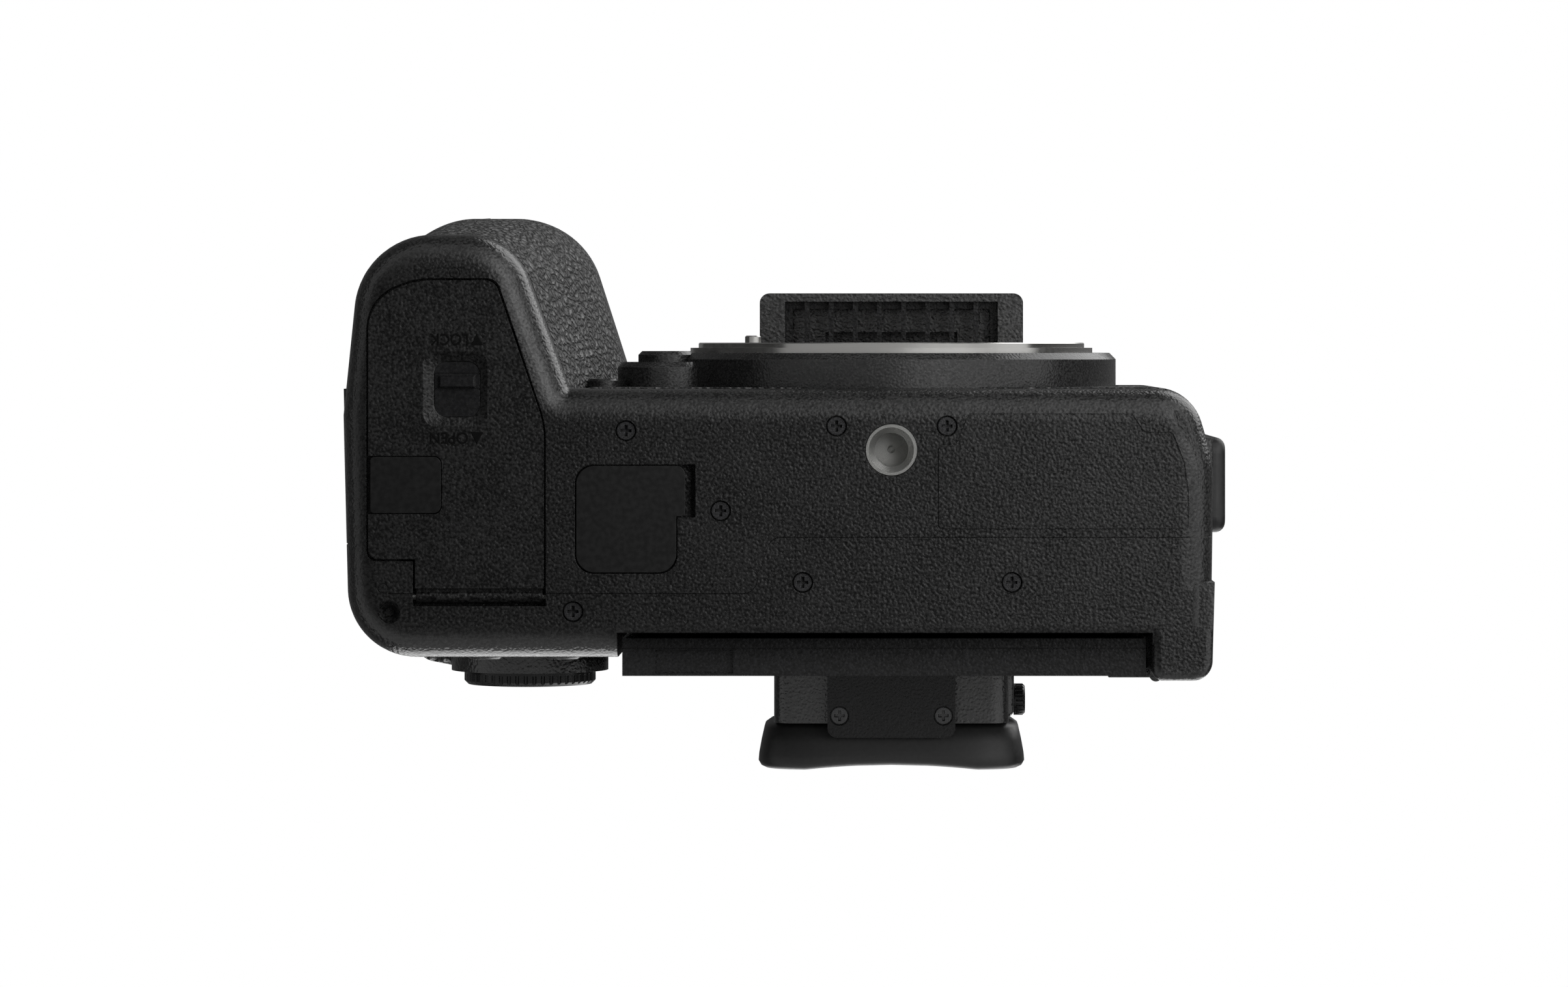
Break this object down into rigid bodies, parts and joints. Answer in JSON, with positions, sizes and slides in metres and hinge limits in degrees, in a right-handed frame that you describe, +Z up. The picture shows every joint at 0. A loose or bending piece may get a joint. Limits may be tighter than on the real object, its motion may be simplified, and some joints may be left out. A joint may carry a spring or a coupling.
{
  "type": "mirrorless camera body",
  "caption": "Full-frame mirrorless camera body with deep grip, bayonet mount, electronic finder, side-hinged screen, dials and battery door.",
  "frame": {"origin": "axis of the tripod socket where it meets the flat underside", "axes": "+Z up, -Y the way the lens points, +X to the right of someone facing the front; the grip is on the -X side"},
  "size_m": [0.1413, 0.0903, 0.1023],
  "materials": {
    "body_magnesium": "fine matte black paint",
    "grip_leather": "pebbled rubber skin",
    "smooth_rubber": "smooth matte rubber",
    "black_plastic": "satin black",
    "control_plastic": "satin black",
    "knurled_aluminium": "black anodised, knurled",
    "bayonet_steel": "satin plated",
    "screw_steel": "black oxide",
    "cast_chassis": "black cast alloy",
    "shutter_metal": "matte black",
    "sensor_glass": "coated",
    "board_green": "solder mask",
    "battery_shell": "grey black",
    "clear_glass": "coated"
  },
  "bodies": {
    "camera_body": {"front_shell": "body_magnesium", "rear_shell": "body_magnesium", "top_cover": "body_magnesium", "grip_cover": "grip_leather", "front_leather": "grip_leather", "thumb_rest": "grip_leather", "chassis": "cast_chassis", "mount_surround": "black_plastic", "mount_ring": "bayonet_steel", "mount_screws": "bayonet_steel", "shutter_frame": "black_plastic", "sensor_base": "cast_chassis", "main_board": "board_green", "tripod_socket": "bayonet_steel", "case_screws": "screw_steel", "battery": "battery_shell", "battery_tube": "black_plastic", "door_pin": "bayonet_steel", "grip_connector": "black_plastic", "card_slot": "black_plastic", "port_sockets": "board_green", "finder_tube": "black_plastic", "eyepiece_glass": "clear_glass", "eyecup": "smooth_rubber", "finder_bracket": "black_plastic", "intake_grille": "black_plastic", "fan_housing": "black_plastic", "hot_shoe": "bayonet_steel", "strap_lugs": "bayonet_steel"},
    "release": {"release_button": "control_plastic"},
    "lens_lock": {"lock_pin": "bayonet_steel"},
    "front_key": {"front_button": "control_plastic"},
    "record_key": {"record_button": "control_plastic"},
    "shutter_key": {"shutter_button": "knurled_aluminium"},
    "play_key": {"play_button": "control_plastic"},
    "delete_key": {"delete_button": "control_plastic"},
    "set_key": {"set_button": "control_plastic"},
    "power_switch": {"power_lever": "knurled_aluminium"},
    "mode_dial_body": {"mode_dial": "knurled_aluminium"},
    "rear_dial_body": {"rear_dial": "knurled_aluminium"},
    "drive_dial_body": {"drive_dial": "knurled_aluminium"},
    "wheel": {"control_wheel": "knurled_aluminium"},
    "front_dial_body": {"front_dial": "knurled_aluminium"},
    "diopter": {"diopter_dial": "control_plastic"},
    "stick": {"joystick": "control_plastic"},
    "fan": {"fan_rotor": "black_plastic"},
    "sensor_stage": {"image_sensor": "sensor_glass", "sensor_carriage": "cast_chassis"},
    "shutter_lead": {"shutter_blade_lead": "shutter_metal"},
    "shutter_follow": {"shutter_blade_rear": "shutter_metal"},
    "door": {"battery_door": "black_plastic"},
    "lock": {"door_lock": "black_plastic"},
    "cable_cover": {"cable_flap": "smooth_rubber"},
    "link_cover": {"connector_cover": "smooth_rubber"},
    "card_hatch": {"card_door": "black_plastic"},
    "lower_port_cover": {"lower_port_flap": "smooth_rubber"},
    "upper_port_cover": {"upper_port_flap": "smooth_rubber"},
    "screen": {"screen_housing": "black_plastic", "screen_glass": "clear_glass", "screen_arm": "black_plastic"}
  },
  "joints": [
    {"name": "release_press", "type": "slide", "parent": "camera_body", "child": "release", "axis": [0, 1, 0], "range_m": [0, 0.0012], "stiffness_N_per_m": 300, "springref_m": -0.001},
    {"name": "lock_pin_slide", "type": "slide", "parent": "camera_body", "child": "lens_lock", "axis": [0, 1, 0], "range_m": [0, 0.0012]},
    {"name": "front_press", "type": "slide", "parent": "camera_body", "child": "front_key", "axis": [0, 1, 0], "range_m": [0, 0.0006], "stiffness_N_per_m": 300, "springref_m": -0.001},
    {"name": "record_press", "type": "slide", "parent": "camera_body", "child": "record_key", "axis": [0, 0.2569, -0.9664], "range_m": [0, 0.0006], "stiffness_N_per_m": 300, "springref_m": -0.001},
    {"name": "shutter_press", "type": "slide", "parent": "camera_body", "child": "shutter_key", "axis": [0, 0.2569, -0.9664], "range_m": [0, 0.0008], "stiffness_N_per_m": 300, "springref_m": -0.001},
    {"name": "play_press", "type": "slide", "parent": "camera_body", "child": "play_key", "axis": [0, -1, 0], "range_m": [0, 0.0006], "stiffness_N_per_m": 300, "springref_m": -0.001},
    {"name": "delete_press", "type": "slide", "parent": "camera_body", "child": "delete_key", "axis": [0, -1, 0], "range_m": [0, 0.0006], "stiffness_N_per_m": 300, "springref_m": -0.001},
    {"name": "set_press", "type": "slide", "parent": "camera_body", "child": "set_key", "axis": [0, -1, 0], "range_m": [0, 0.0006], "stiffness_N_per_m": 300, "springref_m": -0.001},
    {"name": "power_turn", "type": "hinge", "parent": "camera_body", "child": "power_switch", "pos_m": [-0.0665, -0.0255, 0.07087], "axis": [0, -0.2569, 0.9664], "range_deg": [0, 34]},
    {"name": "mode_turn", "type": "hinge", "parent": "camera_body", "child": "mode_dial_body", "pos_m": [-0.0465, 0.012, 0.076], "axis": [0, 0, 1], "continuous": true},
    {"name": "rear_turn", "type": "hinge", "parent": "camera_body", "child": "rear_dial_body", "pos_m": [-0.0715, 0.0212, 0.076], "axis": [0, 0, 1], "continuous": true},
    {"name": "drive_turn", "type": "hinge", "parent": "camera_body", "child": "drive_dial_body", "pos_m": [0.037, 0.012, 0.076], "axis": [0, 0, 1], "continuous": true},
    {"name": "wheel_turn", "type": "hinge", "parent": "camera_body", "child": "wheel", "pos_m": [-0.0568, 0.0351, 0.034], "axis": [0, 1, 0], "continuous": true},
    {"name": "front_dial_turn", "type": "hinge", "parent": "camera_body", "child": "front_dial_body", "pos_m": [-0.063, -0.0297, 0.0583], "axis": [1, 0, 0], "continuous": true},
    {"name": "diopter_turn", "type": "hinge", "parent": "camera_body", "child": "diopter", "pos_m": [0.0202, 0.0428, 0.08], "axis": [1, 0, 0], "range_deg": [-120, 120]},
    {"name": "stick_tilt", "type": "hinge", "parent": "camera_body", "child": "stick", "pos_m": [-0.0545, 0.031, 0.0562], "axis": [1, 0, 0], "range_deg": [-7, 7], "stiffness_Nm_per_rad": 0.02},
    {"name": "fan_spin", "type": "hinge", "parent": "camera_body", "child": "fan", "pos_m": [0, 0.0015, 0.09], "axis": [0, 0, 1], "continuous": true},
    {"name": "sensor_shift", "type": "slide", "parent": "camera_body", "child": "sensor_stage", "axis": [1, 0, 0], "range_m": [-0.0012, 0.0012], "stiffness_N_per_m": 400},
    {"name": "shutter_rise", "type": "slide", "parent": "camera_body", "child": "shutter_lead", "axis": [0, 0, 1], "range_m": [0, 0.0262]},
    {"name": "shutter_follow_rise", "type": "slide", "parent": "camera_body", "child": "shutter_follow", "axis": [0, 0, 1], "range_m": [0, 0.0131]},
    {"name": "battery_door_swing", "type": "hinge", "parent": "camera_body", "child": "door", "pos_m": [-0.062, 0.02225, 0.0012], "axis": [1, 0, 0], "range_deg": [0, 95]},
    {"name": "door_lock_slide", "type": "slide", "parent": "door", "child": "lock", "axis": [0, -1, 0], "range_m": [0, 0.0014]},
    {"name": "cable_flap_swing", "type": "hinge", "parent": "door", "child": "cable_cover", "pos_m": [-0.06805, 0.0053, 0.00015], "axis": [0, -1, 0], "range_deg": [0, 80]},
    {"name": "connector_cover_pull", "type": "slide", "parent": "camera_body", "child": "link_cover", "axis": [0, 0, -1], "range_m": [0, 0.012]},
    {"name": "card_door_swing", "type": "hinge", "parent": "camera_body", "child": "card_hatch", "pos_m": [-0.0819, 0.0156, 0.041], "axis": [0, 0, 1], "range_deg": [0, 92]},
    {"name": "lower_port_flap_swing", "type": "hinge", "parent": "camera_body", "child": "lower_port_cover", "pos_m": [0.05, -0.0013, 0.0278], "axis": [0, 0, -1], "range_deg": [0, 100]},
    {"name": "upper_port_flap_swing", "type": "hinge", "parent": "camera_body", "child": "upper_port_cover", "pos_m": [0.05, -0.0013, 0.0517], "axis": [0, 0, -1], "range_deg": [0, 100]},
    {"name": "screen_swing", "type": "hinge", "parent": "camera_body", "child": "screen", "pos_m": [0.0406, 0.0348, 0.033], "axis": [0, 0, -1], "range_deg": [0, 180]}
  ],
  "couplings": [
    {"joint": "lock_pin_slide", "follows": "release_press", "ratio": 1},
    {"joint": "shutter_follow_rise", "follows": "shutter_rise", "ratio": 0.5}
  ]
}
